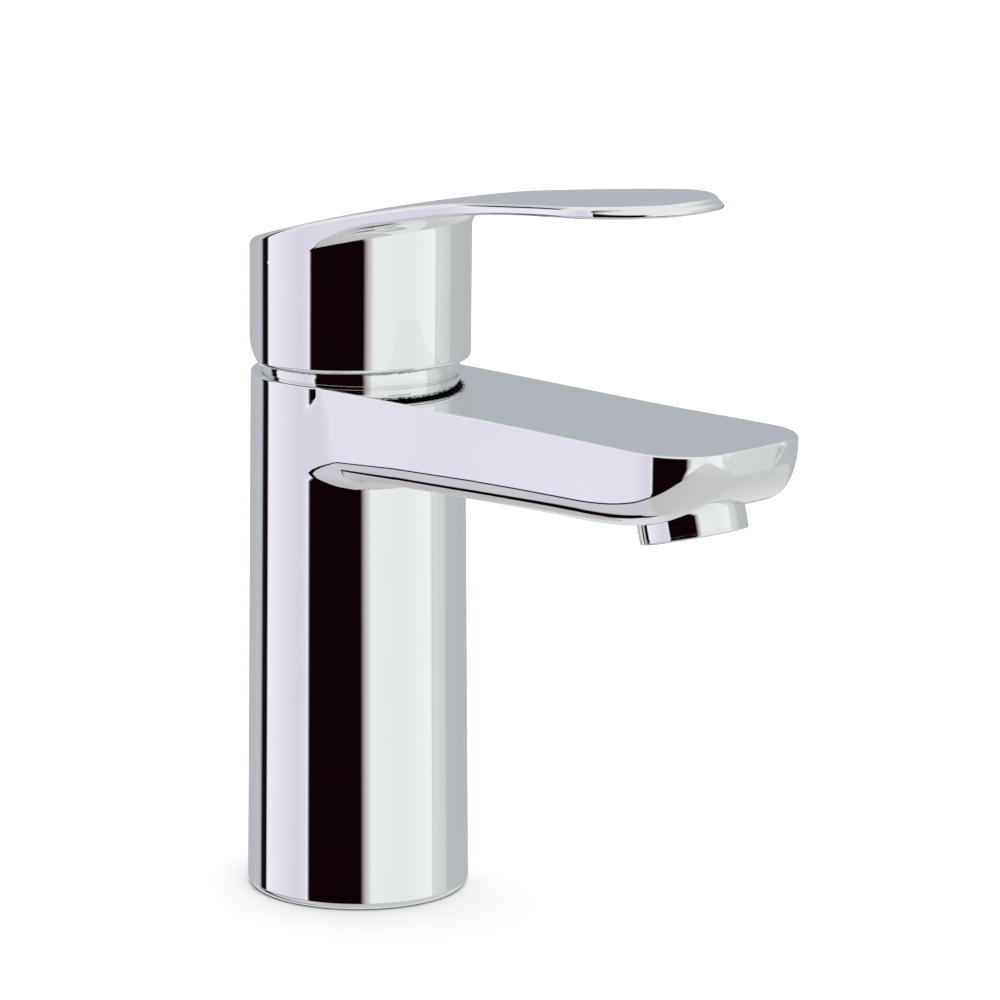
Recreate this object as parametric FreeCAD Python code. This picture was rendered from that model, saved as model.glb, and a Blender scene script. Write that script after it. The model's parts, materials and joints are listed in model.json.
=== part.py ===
"""Single-lever bathroom mixer faucet with a ceramic-disc cartridge.

Millimetres, +Z up. The origin is on the column's axis at the deck; spout and lever point to -Y.
"""
import FreeCAD, Part
import math
import os

V = FreeCAD.Vector
UP = V(0, 0, 1)
LEFT_RIGHT = V(1, 0, 0)

# Column and spout
foot_radius = 24.0
foot_rounding_height = 5.0
foot_contact_radius = 22.6
top_height = 112.86
top_fall = 0.008
column_top_radius = 22.9
column_top_offset = 0.7
spout_reach = 111.3
spout_root_half = 20.9
spout_waist_half = 20.1
spout_flare_half = 21.0
spout_waist_at = 68.0
spout_flare_at = 98.0
underside_root_height = 93.3
underside_rise = 0.018
lower_edge_radius = 6.0
nose_lift_at = 82.0
top_edge_radius = 0.6

# Water ways and foot
recess_radius = 17.0
recess_depth = 30.0
inlet_radius = 4.5
inlet_depth = 14.0
inlet_spacing = 17.0
water_way_radius = 3.6
stud_hole_radius = 3.4
stud_hole_depth = 16.0
stud_hole_at = 10.5
gasket_mid_radius = 19.9
gasket_width = 2.6
gasket_depth = 2.0
spout_way_radius = 4.0

# Cartridge, from its floor upwards
bore_radius = 17.6
nut_bore_radius = 19.0
floor_z = 76.0
base_plate_top = 80.0
disc_seat_z = 84.0
moving_disc_z = 84.05
disc_thickness = 3.0
chamber_top_z = 94.3
shoulder_z = 97.5
neck_top_z = 108.0
neck_radius = 14.0
guide_radius = 11.5
running_gap = 0.06
guide_top_z = 110.0
guide_slot_half = 8.3
pivot_z = 100.0
pin_radius = 1.5
blade_half = 3.0
tongue_drop = 9.4
tongue_radius = 2.5
stem_half = 4.0
stem_top_z = 134.0
ring_top_z = 116.6
ring_radius = 21.3
ring_hole_radius = 12.6

# Handle
handle_radius = 23.6
handle_bottom = 115.4
handle_bottom_rise = 0.035
handle_wall = 2.3
handle_mouth_wall = 1.7
handle_mouth_top = 120.0
handle_roof = 3.6
relief_start = 8.9
relief_slope = 0.5
lever_reach = 98.0
lever_waist_half = 13.9
lever_waist_at = 43.0
lever_wide_half = 19.2
lever_wide_at = 79.0
lever_thickness = 2.5
boss_half = 6.6
boss_bottom_z = 124.0
screw_z = 129.0
screw_radius = 2.5
plug_radius = 3.4
plug_start_y = 18.0
plug_end_y = 23.85
mark_radius = 2.3
mark_depth = 0.35

# Aerator, on an axis tipped towards the nose
aerator_tilt = 14.5
aerator_seat = V(0, -93.9, 95.9)
aerator_radius = 11.1
aerator_drop = 4.5
aerator_spigot_radius = 9.85
aerator_spigot = 6.5
aerator_bore_radius = 8.6
screen_pitch = 1.9
screen_hole_radius = 0.6


def cylinder(radius, low, high, x=0.0, y=0.0):
    return Part.makeCylinder(radius, high - low, V(x, y, low), UP)


def rod_x(radius, length, x, z):
    return Part.makeCylinder(radius, length, V(x, 0, z), LEFT_RIGHT)


def rod_y(radius, length, y, z):
    return Part.makeCylinder(radius, length, V(0, y, z), V(0, 1, 0))


def tube(outer, inner, low, high):
    return cylinder(outer, low, high).cut(cylinder(inner, low, high))


def box(x_low, x_high, y_low, y_high, z_low, z_high):
    return Part.makeBox(x_high - x_low, y_high - y_low, z_high - z_low, V(x_low, y_low, z_low))


def bezier(*points):
    curve = Part.BezierCurve()
    curve.setPoles(list(points))
    return curve.toShape()


def lines(*points):
    return [Part.makeLine(a, b) for a, b in zip(points, points[1:])]


def arc(start, middle, end):
    return Part.Arc(start, middle, end).toShape()


def extrude(edges, direction):
    """Closed solid from a ring of edges, pushed along a vector."""
    return Part.Face(Part.Wire(Part.__sortEdges__(edges))).extrude(direction)


def mirrored(edges):
    """The edges and their mirror images across the plane of symmetry."""
    return edges + [edge.mirror(V(0, 0, 0), LEFT_RIGHT) for edge in edges]


def revolve(edges):
    face = Part.Face(Part.Wire(Part.__sortEdges__(edges)))
    return face.revolve(V(0, 0, 0), UP, 360)


def one_solid(shape):
    """The largest solid of a shape, with split faces joined."""
    solids = sorted(shape.removeSplitter().Solids, key=lambda solid: solid.Volume)
    return solids[-1]


def edges_where(shape, test):
    return [edge for edge in shape.Edges if test(edge, edge.BoundBox)]


# ---- Body ----

def column():
    """Tapered round column, leaning back a little, on a foot rounded in to the deck."""
    lean = V(0, column_top_offset, top_height)
    height = lean.Length + 4
    taper = (foot_radius - column_top_radius) / top_height
    shaft = Part.makeCone(foot_radius, foot_radius - taper * height, height, V(0, 0, 0), lean)
    shaft = shaft.cut(box(-30, 30, -30, 30, -5, foot_rounding_height))
    inset = foot_radius - foot_contact_radius
    middle = V(foot_radius - inset * 0.27, 0, foot_rounding_height * 0.48)
    foot = revolve([
        arc(V(foot_contact_radius, 0, 0), middle, V(foot_radius, 0, foot_rounding_height)),
        *lines(V(foot_radius, 0, foot_rounding_height), V(0, 0, foot_rounding_height), V(0, 0, 0),
               V(foot_contact_radius, 0, 0)),
    ])
    return shaft.fuse(foot)


def spout_plan():
    """Half outline of the spout from above: slight waist, flare, rounded nose."""
    z = underside_root_height - 10
    root = V(spout_root_half, -8, z)
    waist = V(spout_waist_half, -spout_waist_at, z)
    flare = V(spout_flare_half, -spout_flare_at, z)
    tip = V(0, -spout_reach, z)
    half = [
        Part.makeLine(V(0, -8, z), root),
        bezier(root, V(spout_root_half, -30, z), V(spout_waist_half, -48, z), waist),
        bezier(waist, V(spout_waist_half, -80, z), V(spout_flare_half, -90, z), flare),
        bezier(flare, V(spout_flare_half, -107, z), V(17.5, -spout_reach + 0.8, z), tip),
    ]
    return extrude(mirrored(half), V(0, 0, 40))


def spout_section():
    """Cross-section of the spout, flat below with large rounded edges, run out along its slope."""
    side = spout_flare_half + 0.01
    low = underside_root_height
    flat = side - lower_edge_radius
    bend = lower_edge_radius * (1 - math.sqrt(0.5))
    shoulder = low + lower_edge_radius
    half = [
        *lines(V(0, 0, low), V(flat, 0, low)),
        arc(V(flat, 0, low), V(side - bend, 0, low + bend), V(side, 0, shoulder)),
        *lines(V(side, 0, shoulder), V(side, 0, 130), V(0, 0, 130)),
    ]
    return extrude(mirrored(half), V(0, -1, underside_rise) * 120)


def spout_side():
    """Side profile of the spout, with its nose drawn in below like a boat's bow."""
    x = -30
    chin = spout_reach - 0.4
    upper = top_height - 3.5
    low = underside_root_height - 3
    level = underside_root_height + underside_rise * nose_lift_at
    heel = V(x, -nose_lift_at, level)
    turn = bezier(heel, V(x, -nose_lift_at - 15, level + 0.5), V(x, -chin, level + 3.7), V(x, -chin, upper))
    rest = lines(V(x, -chin, upper), V(x, -chin - 3, upper), V(x, -chin - 3, 125), V(x, -5, 125),
                 V(x, -5, low), V(x, -nose_lift_at, low), heel)
    return extrude([turn, *rest], V(60, 0, 0))


def aerator_frame(shape):
    """Moves a shape made about +Z, with its seat at z = 0, onto the aerator's axis."""
    placed = shape.copy()
    placed.rotate(V(0, 0, 0), LEFT_RIGHT, 180 - aerator_tilt)
    placed.translate(aerator_seat)
    return placed


def body_outside():
    spout = spout_plan().common(spout_side()).common(spout_section())
    boss = aerator_frame(cylinder(aerator_radius + 0.25, -9, -0.01))
    shape = column().fuse([spout, boss])
    lid = Part.makeBox(80, 200, 20, V(-40, -150, 0))
    lid.rotate(V(0, 0, 0), LEFT_RIGHT, math.degrees(math.atan(top_fall)))
    lid.translate(V(0, 0, top_height))
    shape = one_solid(shape.cut(lid))
    rim = edges_where(shape, lambda edge, b: b.ZMin > top_height - 2)
    return shape.makeFillet(top_edge_radius, rim)


def water_ways():
    """Foot recess, two inlets, stud hole, cartridge bore, outlet groove and the way through the spout."""
    x = inlet_spacing / 2
    roof = recess_depth + inlet_depth
    cuts = [cylinder(recess_radius, -1, recess_depth)]
    for side in (-x, x):
        cuts.append(cylinder(inlet_radius, recess_depth - 1, roof, side, -2))
        cuts.append(cylinder(water_way_radius, roof - 1, floor_z + 1, side, -2))
    cuts.append(cylinder(stud_hole_radius, recess_depth - 1, recess_depth + stud_hole_depth, 0, stud_hole_at))
    cuts.append(cylinder(bore_radius, floor_z, top_height + 2))
    cuts.append(cylinder(nut_bore_radius, shoulder_z, top_height + 2))
    cuts.append(box(-4.5, 4.5, -20.2, -12, floor_z, shoulder_z))
    start = V(0, -16, 99.5)
    end = V(0, -92, 103)
    cuts.append(Part.makeCylinder(spout_way_radius, (end - start).Length, start, end - start))
    cuts.append(aerator_frame(cylinder(aerator_spigot_radius + 0.1, -aerator_spigot - 1, 1)))
    cuts.append(aerator_frame(cylinder(6.0, -aerator_spigot - 3, 0)))
    cuts.append(aerator_frame(cylinder(aerator_radius + 0.25, 0, 9)))
    low = gasket_mid_radius - gasket_width / 2
    cuts.append(tube(low + gasket_width, low, -1, gasket_depth))
    return cuts


def body():
    return one_solid(body_outside().cut(water_ways()))


def base_gasket():
    low = gasket_mid_radius - gasket_width / 2
    return tube(low + gasket_width - 0.05, low + 0.05, 0, gasket_depth)


# ---- Cartridge ----

port_angles = (35, 145, 270)


def port(angle, radius, low, high):
    turn = math.radians(angle)
    return cylinder(radius, low, high, 9.0 * math.cos(turn), 9.0 * math.sin(turn))


def cartridge_base():
    """Bottom plate with three ports and a seal pocket round each."""
    plate = cylinder(bore_radius - 0.1, floor_z, base_plate_top)
    cuts = []
    for angle in port_angles:
        cuts.append(port(angle, 2.6, floor_z - 1, base_plate_top + 1))
        cuts.append(port(angle, 4.2, floor_z - 1, floor_z + 1.5))
    return plate.cut(cuts)


def port_seals():
    seals = [port(angle, 4.15, floor_z + 0.02, floor_z + 1.5).cut(port(angle, 2.8, floor_z, floor_z + 2))
             for angle in port_angles]
    return Part.makeCompound(seals)


def fixed_disc():
    disc = cylinder(14.4, base_plate_top, disc_seat_z)
    return disc.cut([port(angle, 2.6, base_plate_top - 1, disc_seat_z + 1) for angle in port_angles])


def moving_disc():
    """Ceramic disc whose underside pocket joins the ports as it slides and turns."""
    disc = cylinder(9.8, moving_disc_z, moving_disc_z + disc_thickness)
    return disc.cut(cylinder(5.2, moving_disc_z - 1, moving_disc_z + 1.6))


def disc_carrier():
    """Plastic carrier on the moving disc, slotted for the stem's tongue."""
    low = moving_disc_z + disc_thickness
    carrier = cylinder(9.8, low, low + 5.6)
    half = tongue_radius + 0.25
    return carrier.cut(box(-blade_half - 0.3, blade_half + 0.3, -half, half, low + 0.8, low + 9))


def cartridge_housing():
    shell = cylinder(bore_radius - 0.1, base_plate_top, shoulder_z)
    neck = cylinder(neck_radius, shoulder_z, neck_top_z)
    chamber = cylinder(15.2, base_plate_top, chamber_top_z)
    guide_bore = cylinder(guide_radius + running_gap, 90, neck_top_z + 1)
    limiter_seat = cylinder(neck_radius - 1.2, neck_top_z - 1.6, neck_top_z + 1)
    return shell.fuse(neck).cut([chamber, guide_bore, limiter_seat])


def swivel_guide():
    """Turning guide: a barrel in the housing's neck over a flange, slotted for the rocking stem."""
    barrel = cylinder(guide_radius, chamber_top_z - 1, guide_top_z)
    flange = cylinder(14.6, chamber_top_z - 1.6, chamber_top_z - 0.15)
    slot = box(-blade_half - 0.2, blade_half + 0.2, -guide_slot_half, guide_slot_half,
               chamber_top_z - 3, guide_top_z + 1)
    pin_hole = rod_x(pin_radius, 40, -20, pivot_z)
    groove = tube(guide_radius + 1, guide_radius - 1.5, 104.6, 106.4)
    return barrel.fuse(flange).cut([slot, pin_hole, groove])


def guide_o_ring():
    return Part.makeTorus(guide_radius - 0.75, 0.72, V(0, 0, 105.5), UP)


def stem_pin():
    return rod_x(pin_radius, 2 * guide_radius - 0.6, -guide_radius + 0.3, pivot_z)


def stem():
    """Rocking stem: square post, flat blade on the pin, round tongue in the carrier."""
    post = box(-stem_half, stem_half, -stem_half, stem_half, guide_top_z + 3, stem_top_z)
    blade = box(-blade_half, blade_half, -3.6, 3.6, pivot_z - 5, guide_top_z + 4)
    waist = box(-blade_half, blade_half, -1.9, 1.9, pivot_z - tongue_drop, pivot_z - 4)
    tongue = rod_x(tongue_radius, 2 * blade_half, -blade_half, pivot_z - tongue_drop)
    pin_hole = rod_x(pin_radius + 0.05, 20, -10, pivot_z)
    return one_solid(post.fuse([blade, waist, tongue]).cut(pin_hole))


def temperature_limiter():
    """Toothed stop ring seated in the neck's mouth."""
    ring = tube(neck_radius - 1.25, guide_radius + 0.35, neck_top_z - 1.6, neck_top_z + 0.6)
    notches = []
    for index in range(24):
        notch = box(neck_radius - 1.9, neck_radius, -0.5, 0.5, neck_top_z - 0.6, neck_top_z + 1)
        notch.rotate(V(0, 0, 0), UP, index * 15)
        notches.append(notch)
    return one_solid(ring.cut(notches))


def hexagon(across_flats, low, high):
    corner = across_flats / math.sqrt(3)
    turns = [math.radians(60 * index) for index in range(7)]
    points = [V(corner * math.cos(turn), corner * math.sin(turn), low) for turn in turns]
    return Part.Face(Part.makePolygon(points)).extrude(V(0, 0, high - low))


def retaining_nut():
    nut = cylinder(nut_bore_radius - 0.08, shoulder_z, 103).fuse(hexagon(29, 103, 108.4))
    return nut.cut(cylinder(neck_radius + 0.25, shoulder_z - 1, 110))


def dome_ring():
    """Domed escutcheon on the body's top, with a skirt screwed into the nut's bore."""
    skirt = nut_bore_radius - 0.08
    inner = 17.3
    seat = top_height + 0.18
    shape = revolve([
        *lines(V(inner, 0, 106), V(skirt, 0, 106), V(skirt, 0, seat), V(ring_radius, 0, seat),
               V(ring_radius - 0.1, 0, seat + 1.3)),
        arc(V(ring_radius - 0.1, 0, seat + 1.3), V(19.4, 0, ring_top_z - 0.5), V(17.0, 0, ring_top_z)),
        *lines(V(17.0, 0, ring_top_z), V(ring_hole_radius, 0, ring_top_z),
               V(ring_hole_radius, 0, ring_top_z - 2.2), V(inner, 0, ring_top_z - 2.2), V(inner, 0, 106)),
    ])
    groove = tube(20.6, 19.4, seat - 1, seat + 0.95)
    return one_solid(shape.cut(groove))


def dome_ring_o_ring():
    return Part.makeTorus(20.0, 0.45, V(0, 0, top_height + 0.18 + 0.47), UP)


# ---- Handle ----

def top_line(drop):
    """Long curve of the handle's top from the rear to the tip, lowered by a drop."""
    x = -30
    return [V(x, 26, 137.4 - drop), V(x, -12, 151.9 - drop), V(x, -56, 157.9 - drop), V(x, -98, 159.4 - drop)]


def under_top(drop, low):
    """Everything between a level and the lowered top curve."""
    poles = top_line(drop)
    ring = [bezier(*poles)] + lines(poles[3], V(-30, -98, low), V(-30, 26, low), poles[0])
    return extrude(ring, V(60, 0, 0))


def handle_plan():
    """Outline from above: round cap, drawn-in neck, wide paddle with a rounded tip."""
    z = 100
    lean = math.radians(15)
    side = V(handle_radius * math.cos(lean), -handle_radius * math.sin(lean), z)
    along = V(-math.sin(lean), -math.cos(lean), 0)
    waist = V(lever_waist_half, -lever_waist_at, z)
    wide = V(lever_wide_half, -lever_wide_at, z)
    tip = V(0, -lever_reach, z)
    half = [
        arc(V(0, handle_radius, z), V(handle_radius, 0, z), side),
        bezier(side, side + along * 20, V(lever_waist_half, -36, z), waist),
        bezier(waist, V(lever_waist_half, -49, z), V(lever_wide_half - 1.5, -68, z), wide),
        bezier(wide, V(lever_wide_half + 1.2, -88, z), V(13, -lever_reach, z), tip),
    ]
    return extrude(mirrored(half), V(0, 0, 70))


def under_lever():
    """Space below the lever, outside the cap."""
    poles = top_line(lever_thickness)
    poles[0] = V(-30, 26, 132)
    poles[1] = V(-30, -12, 150.1)
    ring = [bezier(*poles)] + lines(poles[3], V(-30, -98, 100), V(-30, 26, 100), poles[0])
    return extrude(ring, V(60, 0, 0)).cut(cylinder(handle_radius, 90, 180))


def handle_bottom_cut():
    """Sloping bottom plane, and the rear relief that lets the handle tip back."""
    edge = handle_bottom - handle_bottom_rise * relief_start
    front = handle_bottom + handle_bottom_rise * 40
    rear = edge + relief_slope * (40 - relief_start)
    ring = lines(V(-30, relief_start, edge), V(-30, -40, front), V(-30, -40, 90), V(-30, 40, 90),
                 V(-30, 40, rear), V(-30, relief_start, edge))
    return extrude(ring, V(60, 0, 0))


def handle():
    shape = one_solid(handle_plan().common(under_top(0, 101)).cut([under_lever(), handle_bottom_cut()]))
    hollow = cylinder(handle_radius - handle_wall, 90, 170).common(under_top(handle_roof, 95))
    boss = box(-boss_half, boss_half, -boss_half, handle_radius - 1, boss_bottom_z, 170)
    hollow = hollow.cut(boss.common(cylinder(handle_radius - 0.5, 90, 170)))
    mouth = cylinder(handle_radius - handle_mouth_wall, 90, handle_mouth_top)
    gap = 0.05
    socket = box(-stem_half - gap, stem_half + gap, -stem_half - gap, stem_half + gap, 90, stem_top_z + 0.3)
    screw_way = rod_y(screw_radius, 40, 0, screw_z)
    plug_way = rod_y(plug_radius, 20, plug_start_y, screw_z)
    return one_solid(shape.cut([hollow, mouth, socket, screw_way, plug_way]))


def grub_screw():
    """Set screw with a hexagon socket, pressing on the stem's rear face."""
    start = stem_half + 0.02
    screw = rod_y(screw_radius - 0.02, 9, start, screw_z)
    socket = hexagon(2.5, 0, 5)
    socket.rotate(V(0, 0, 0), LEFT_RIGHT, -90)
    socket.translate(V(0, start + 6, screw_z))
    return screw.cut(socket)


def index_plug():
    """Plug over the screw, standing slightly proud, with a pocket for its two marks."""
    plug = rod_y(plug_radius - 0.03, plug_end_y - plug_start_y, plug_start_y, screw_z)
    return plug.cut(rod_y(mark_radius, 1, plug_end_y - mark_depth, screw_z))


def mark(side):
    """Half-round colour mark; side is -1 or 1 along X."""
    disc = rod_y(mark_radius - 0.05, mark_depth, plug_end_y - mark_depth + 0.01, screw_z)
    low, high = sorted((side * 0.1, side * 4))
    return disc.common(box(low, high, 20, 25, screw_z - 4, screw_z + 4))


# ---- Aerator, built about +Z below its seat ----

def aerator_housing():
    skirt = cylinder(aerator_radius, 0.02, aerator_drop)
    rim = edges_where(skirt, lambda edge, b: b.ZMin > aerator_drop - 0.1)
    skirt = skirt.makeFillet(0.5, rim)
    ring = skirt.fuse(cylinder(aerator_spigot_radius, -aerator_spigot, 0.1))
    line = tube(aerator_radius + 1, aerator_radius - 0.15, aerator_drop - 1.0, aerator_drop - 0.85)
    bore = cylinder(aerator_bore_radius, -aerator_spigot - 1, aerator_drop - 1.2)
    mouth = cylinder(aerator_bore_radius - 0.8, 0, aerator_drop + 1)
    return aerator_frame(one_solid(ring.cut([line, bore, mouth])))


def aerator_washer():
    return aerator_frame(tube(9.7, 6.6, -aerator_spigot - 0.98, -aerator_spigot - 0.02))


def flow_regulator():
    ring = tube(5.4, 1.2, -6.3, -4.52)
    slots = []
    for index in range(6):
        slot = box(2.2, 4.4, -0.5, 0.5, -7, -4)
        slot.rotate(V(0, 0, 0), UP, 60 * index)
        slots.append(slot)
    return aerator_frame(ring.cut(slots))


def aerator_insert():
    """Jet former: a cup with a ring of water jets in its floor and air slots in its side."""
    cup = cylinder(aerator_bore_radius - 0.05, -6.0, 1.9).cut(cylinder(7.3, -2.5, 3))
    cup = cup.cut(cylinder(5.5, -7, -4.5))
    cuts = []
    for index in range(12):
        turn = math.radians(30 * index)
        cuts.append(cylinder(0.7, -8, 0, 6.4 * math.cos(turn), 6.4 * math.sin(turn)))
        cuts.append(cylinder(0.5, -8, 0, 3.3 * math.cos(turn), 3.3 * math.sin(turn)))
    return aerator_frame(one_solid(cup.cut(cuts)))


def aerator_screen():
    """Outlet screen: a thin disc with a hexagonal field of holes."""
    disc = cylinder(aerator_bore_radius - 0.05, 1.95, aerator_drop - 1.25)
    holes = []
    for row in range(-4, 5):
        for column_index in range(-5, 6):
            x = screen_pitch * (column_index + 0.5 * (row % 2))
            y = screen_pitch * math.sqrt(3) / 2 * row
            if math.hypot(x, y) < aerator_bore_radius - 1.4:
                holes.append(cylinder(screen_hole_radius, 1, 5, x, y))
    return aerator_frame(one_solid(disc.cut(holes)))


nodes = {
    "body": body,
    "base_gasket": base_gasket,
    "cartridge_base": cartridge_base,
    "port_seals": port_seals,
    "fixed_disc": fixed_disc,
    "moving_disc": moving_disc,
    "disc_carrier": disc_carrier,
    "cartridge_housing": cartridge_housing,
    "swivel_guide": swivel_guide,
    "guide_o_ring": guide_o_ring,
    "stem_pin": stem_pin,
    "stem": stem,
    "temperature_limiter": temperature_limiter,
    "retaining_nut": retaining_nut,
    "dome_ring": dome_ring,
    "dome_ring_o_ring": dome_ring_o_ring,
    "handle": handle,
    "grub_screw": grub_screw,
    "index_plug": index_plug,
    "hot_mark": lambda: mark(1),
    "cold_mark": lambda: mark(-1),
    "aerator_housing": aerator_housing,
    "aerator_washer": aerator_washer,
    "flow_regulator": flow_regulator,
    "aerator_insert": aerator_insert,
    "aerator_screen": aerator_screen,
}

os.makedirs("parts", exist_ok=True)
for name, make in nodes.items():
    make().exportStep("parts/" + name + ".step")
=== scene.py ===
"""Looks of a single-lever basin mixer, built around its CAD frame.

Shapes are worked out in millimetres in the frame's own axes and turned into metres on the way
into Blender. The body's and the handle's shells are smooth implicit surfaces: a small given
cage is subdivided, moved onto the surface, and given the surface's own normals. The ring and the
aerator's shell are turned from outlines.
"""
import json
import math

import bmesh
import bpy
import numpy as np
from mathutils import Matrix, Vector


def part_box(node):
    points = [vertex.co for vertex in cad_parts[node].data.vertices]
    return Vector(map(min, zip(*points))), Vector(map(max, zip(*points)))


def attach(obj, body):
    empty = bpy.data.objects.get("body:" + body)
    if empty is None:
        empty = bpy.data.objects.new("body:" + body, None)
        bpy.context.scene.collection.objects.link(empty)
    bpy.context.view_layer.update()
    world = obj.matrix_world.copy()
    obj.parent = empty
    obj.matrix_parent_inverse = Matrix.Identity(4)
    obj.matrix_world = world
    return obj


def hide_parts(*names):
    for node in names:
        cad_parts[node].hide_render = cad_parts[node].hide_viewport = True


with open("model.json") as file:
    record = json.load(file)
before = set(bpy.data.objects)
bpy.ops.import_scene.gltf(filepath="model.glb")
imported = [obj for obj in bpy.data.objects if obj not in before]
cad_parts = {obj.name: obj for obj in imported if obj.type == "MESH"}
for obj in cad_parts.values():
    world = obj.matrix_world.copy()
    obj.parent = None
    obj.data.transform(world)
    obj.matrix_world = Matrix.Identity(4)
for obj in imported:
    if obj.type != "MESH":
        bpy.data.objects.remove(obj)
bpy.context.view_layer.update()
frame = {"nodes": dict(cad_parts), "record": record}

MM = 0.001
NODES = frame["nodes"]


# ---- Sizes in millimetres, angles in radians; the nose's reach comes from the frame ----

FOOT_RADIUS = 24.0
FOOT_ROUNDING = 1.5
FOOT_CURVE = 1.6
TOP_HEIGHT = 112.86
TOP_FALL = 0.008
COLUMN_TOP_RADIUS = 22.9
COLUMN_TOP_OFFSET = 0.7
NOSE_END = -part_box("body")[0][1] / MM
TOP_EDGE = 0.6
LOWER_EDGE = 6.0
COVE = 2.4
SIDE_COVE = 1.5
TOP_COVE = 0.3
SPOUT_WIDTHS = [(0, 20.9), (-25, 20.9), (-68, 20.15), (-98, 21.0), (-125, 21.0)]
HEEL = 82.0
UNDER_HEIGHT = 93.3
UNDER_RISE = 0.018
NOSE_CORNER = 11.5
NOSE_BOW = 0.0042
RING_RADIUS = 21.3
RING_HOLE = 19.2
RING_GAP = 0.02
RIM_INSET = 0.3
SOCKET = [(RING_HOLE, 97.5), (17.6, 97.5), (17.6, 76.0)]
FOOT_RECESS = [(21.2, 0), (21.2, 2.0), (18.6, 2.0), (18.6, 0), (17.0, 0), (17.0, 30.0)]
FOOT_HOLES = [(-8.5, -2, 4.5, 14), (8.5, -2, 4.5, 14), (0, 10.5, 3.4, 16)]
HANDLE_RADIUS = 23.6
HANDLE_BOTTOM = 115.4
HANDLE_BOTTOM_RISE = 0.035
RELIEF_START = 8.6
RELIEF_SLOPE = 0.5
FOOT_EDGE = 1.1
LEVER_COVE = 2.7
LEVER_EDGE = 0.7
LEVER_END = 95.0
TIP_CORNER = 14.0
TIP_BOW = 60.0
LEVER_THICKNESS = 2.5
LIP_DEPTH = 1.35
LIP_STEP = 1.2
LIP_BLEND = 0.3
LEVER_LEAN = math.radians(15)
SIDE_START = -HANDLE_RADIUS * math.sin(LEVER_LEAN)
WAIST = (-43, 13.9)
PADDLE_POLES = [WAIST, (-48, 13.9), (-65, 16.9), (-82, 19.4)]
HANDLE_WALL = 1.2
HANDLE_ROOF = 3.6
TOP_POLES = [(26, 137.4), (-12, 151.9), (-56, 157.9), (-98, 159.4)]
HANDLE_EDGE = 1.2
CROWN = 0.7
ROOF_PARTS = 14
SHARP_ANGLE = math.radians(32)


# ---- Implicit surfaces: negative inside, millimetres ----

def round_max(a, b, radius):
    """Intersection with its edge rounded."""
    over_a = np.maximum(a + radius, 0)
    over_b = np.maximum(b + radius, 0)
    return np.hypot(over_a, over_b) - radius + np.minimum(np.maximum(a, b) + radius, 0)


def round_min(a, b, radius):
    """Union with a cove of a radius in its corner."""
    return -round_max(-a, -b, radius)


def smooth_table(points):
    """Function through points (y, value), with flat ends and smooth slopes between."""
    pts = sorted(points)
    ys = np.array([p[0] for p in pts], float)
    vs = np.array([p[1] for p in pts], float)
    slopes = np.gradient(vs, ys)
    slopes[0] = slopes[-1] = 0.0

    def value(y):
        y = np.clip(y, ys[0], ys[-1])
        i = np.clip(np.searchsorted(ys, y) - 1, 0, len(ys) - 2)
        span = ys[i + 1] - ys[i]
        t = (y - ys[i]) / span
        h00 = 2 * t**3 - 3 * t**2 + 1
        h10 = t**3 - 2 * t**2 + t
        h01 = 3 * t**2 - 2 * t**3
        h11 = t**3 - t**2
        return h00 * vs[i] + h10 * span * slopes[i] + h01 * vs[i + 1] + h11 * span * slopes[i + 1]
    return value


def bezier_table(poles, count=4000):
    """z as a function of y along a cubic curve with poles (y, z)."""
    t = np.linspace(0, 1, count)[:, None]
    p = np.array(poles, float)
    pts = (1 - t)**3 * p[0] + 3 * (1 - t)**2 * t * p[1] + 3 * (1 - t) * t**2 * p[2] + t**3 * p[3]
    order = np.argsort(pts[:, 0])
    return lambda y: np.interp(y, pts[order, 0], pts[order, 1])


def slope_of(function, y):
    return (function(y + 0.05) - function(y - 0.05)) / 0.1


def column_field(p):
    """Leaning, slightly tapered column with a rounded foot."""
    x, y, z = p.T
    share = z / TOP_HEIGHT
    radius = FOOT_RADIUS + (COLUMN_TOP_RADIUS - FOOT_RADIUS) * share
    low = np.clip(FOOT_ROUNDING - z, 0, FOOT_ROUNDING)
    radius = radius - (FOOT_CURVE - np.sqrt(FOOT_CURVE**2 - low**2))
    return np.hypot(x, y - COLUMN_TOP_OFFSET * share) - radius


spout_width = smooth_table(SPOUT_WIDTHS)
bow = bezier_table([(-HEEL, 94.78), (-97, 95.3), (1.0 - NOSE_END, 98.5), (0.4 - NOSE_END, 109.4)])


def spout_under(y):
    """Height of the spout's underside: straight to the heel, then the bow's curve, then steep."""
    last = 0.8 - NOSE_END
    ahead = np.where(y > last, bow(y), bow(last) + 12 * (last - y))
    return np.where(y > -HEEL, UNDER_HEIGHT - UNDER_RISE * y, ahead)


def lower_edge(x, y):
    """Radius of the spout's lower edge: tight at the column, full along the side, small at the nose."""
    near = np.interp(-y, [6, 10, 14, 30, 52], [3.2, 4.2, 4.8, 5.7, LOWER_EDGE])
    ahead = np.clip((-y - 96) / 12, 0, 1) * np.clip((18 - np.abs(x)) / 12, 0, 1)
    return near * (1 - 0.75 * ahead)


def spout_field(p):
    x, y, z = p.T
    side = np.abs(x) - spout_width(y)
    end = (-y - NOSE_END + NOSE_BOW * x**2) / np.sqrt(1 + (2 * NOSE_BOW * x)**2)
    plan = round_max(side, end, NOSE_CORNER)
    slope = np.clip(slope_of(spout_under, y), -12, 12)
    under = (spout_under(y) - z) / np.sqrt(1 + slope**2)
    return np.maximum(round_max(plan, under, lower_edge(x, y)), y + 3)


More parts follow.
